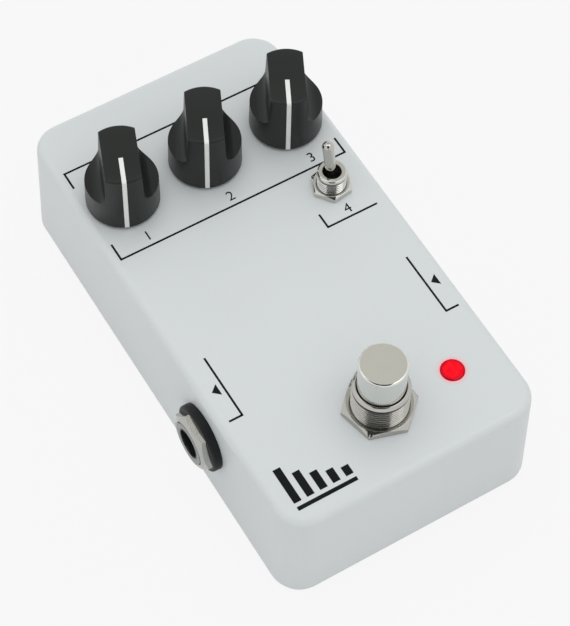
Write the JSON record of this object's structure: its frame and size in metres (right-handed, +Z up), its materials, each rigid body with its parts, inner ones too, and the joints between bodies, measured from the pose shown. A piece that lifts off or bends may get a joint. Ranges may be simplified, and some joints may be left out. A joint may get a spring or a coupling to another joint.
{
  "type": "tape echo pedal",
  "caption": "Pale die-cast guitar echo pedal with black pointer knobs, a bat toggle, a metal footswitch, a red lamp, side signal sockets and a back power socket.",
  "frame": {"origin": "middle of the underside, on the surface that the pedal stands on", "axes": "+X to the input side, +Y away from the player to the knob end, +Z up"},
  "size_m": [0.0655, 0.112, 0.0459],
  "materials": {
    "case_paint": "satin powder coat",
    "steel": "zinc plated",
    "nickel": "bright nickel plate",
    "brass": "plain",
    "shaft_metal": "turned",
    "knob_black": "satin moulded",
    "pointer_white": "inlaid paint",
    "jack_black": "moulded",
    "lamp_red": "clear dyed lens",
    "board_green": "solder mask",
    "chip_black": "moulded",
    "capacitor_blue": "sleeved can",
    "film_red": "dipped",
    "resistor_tan": "lacquered",
    "phenolic": "pressed board",
    "switch_blue": "moulded",
    "ribbon_grey": "flexible sleeve",
    "wire_red": "flexible sleeve"
  },
  "bodies": {
    "pedal": {"enclosure": "case_paint", "bottom_cover": "case_paint", "cover_screws": "steel", "main_board": "board_green", "delay_chips": "chip_black", "electrolytic_capacitors": "capacitor_blue", "film_capacitors": "film_red", "resistors": "resistor_tan", "pot_wafers": "phenolic", "pot_washers": "nickel", "pot_nuts": "nickel", "toggle_case": "switch_blue", "toggle_bushing": "nickel", "toggle_terminals": "brass", "toggle_nut": "nickel", "footswitch_case": "switch_blue", "footswitch_bushing": "nickel", "footswitch_lugs": "brass", "footswitch_lock_nut": "nickel", "footswitch_lock_washer": "steel", "footswitch_nut": "nickel", "footswitch_spring": "steel", "switch_board": "board_green", "led_lens": "lamp_red", "led_leads": "steel", "dc_jack_housing": "jack_black", "dc_jack_contacts": "nickel", "ribbon_cable": "ribbon_grey", "jack_wires": "wire_red", "mix_pot_case": "steel", "speed_pot_case": "steel", "repeats_pot_case": "steel", "output_jack_housing": "jack_black", "output_jack_sleeve": "nickel", "output_jack_tip_spring": "brass", "output_jack_washer": "jack_black", "output_jack_nut": "nickel", "input_jack_housing": "jack_black", "input_jack_sleeve": "nickel", "input_jack_tip_spring": "brass", "input_jack_washer": "jack_black", "input_jack_nut": "nickel"},
    "mix_dial": {"mix_knob": "knob_black", "mix_pointer_line": "pointer_white", "mix_set_screw": "steel", "mix_pot_shaft": "shaft_metal", "mix_wiper": "brass"},
    "speed_dial": {"speed_knob": "knob_black", "speed_pointer_line": "pointer_white", "speed_set_screw": "steel", "speed_pot_shaft": "shaft_metal", "speed_wiper": "brass"},
    "repeats_dial": {"repeats_knob": "knob_black", "repeats_pointer_line": "pointer_white", "repeats_set_screw": "steel", "repeats_pot_shaft": "shaft_metal", "repeats_wiper": "brass"},
    "toggle_arm": {"toggle_lever": "nickel"},
    "toggle_contact": {"toggle_rocker": "brass"},
    "foot_button": {"footswitch_button": "nickel"}
  },
  "joints": [
    {"name": "mix_turn", "type": "hinge", "parent": "pedal", "child": "mix_dial", "pos_m": [-0.0196, 0.0306, 0.03], "axis": [0, 0, -1], "range_deg": [0, 300]},
    {"name": "speed_turn", "type": "hinge", "parent": "pedal", "child": "speed_dial", "pos_m": [0.0004, 0.0306, 0.03], "axis": [0, 0, -1], "range_deg": [0, 300]},
    {"name": "repeats_turn", "type": "hinge", "parent": "pedal", "child": "repeats_dial", "pos_m": [0.0204, 0.0306, 0.03], "axis": [0, 0, -1], "range_deg": [0, 300]},
    {"name": "toggle_tip", "type": "hinge", "parent": "pedal", "child": "toggle_arm", "pos_m": [0.0202, 0.0113, 0.0321], "axis": [1, 0, 0], "range_deg": [0, 26]},
    {"name": "toggle_contact_tip", "type": "hinge", "parent": "pedal", "child": "toggle_contact", "pos_m": [0.0202, 0.0113, 0.0222], "axis": [1, 0, 0], "range_deg": [-15.6, 0]},
    {"name": "footswitch_press", "type": "slide", "parent": "pedal", "child": "foot_button", "axis": [0, 0, -1], "range_m": [0, 0.003], "stiffness_N_per_m": 1500, "springref_m": -0.002, "deforming": ["footswitch_spring"]}
  ],
  "couplings": [
    {"joint": "toggle_contact_tip", "follows": "toggle_tip", "ratio": -0.6}
  ]
}
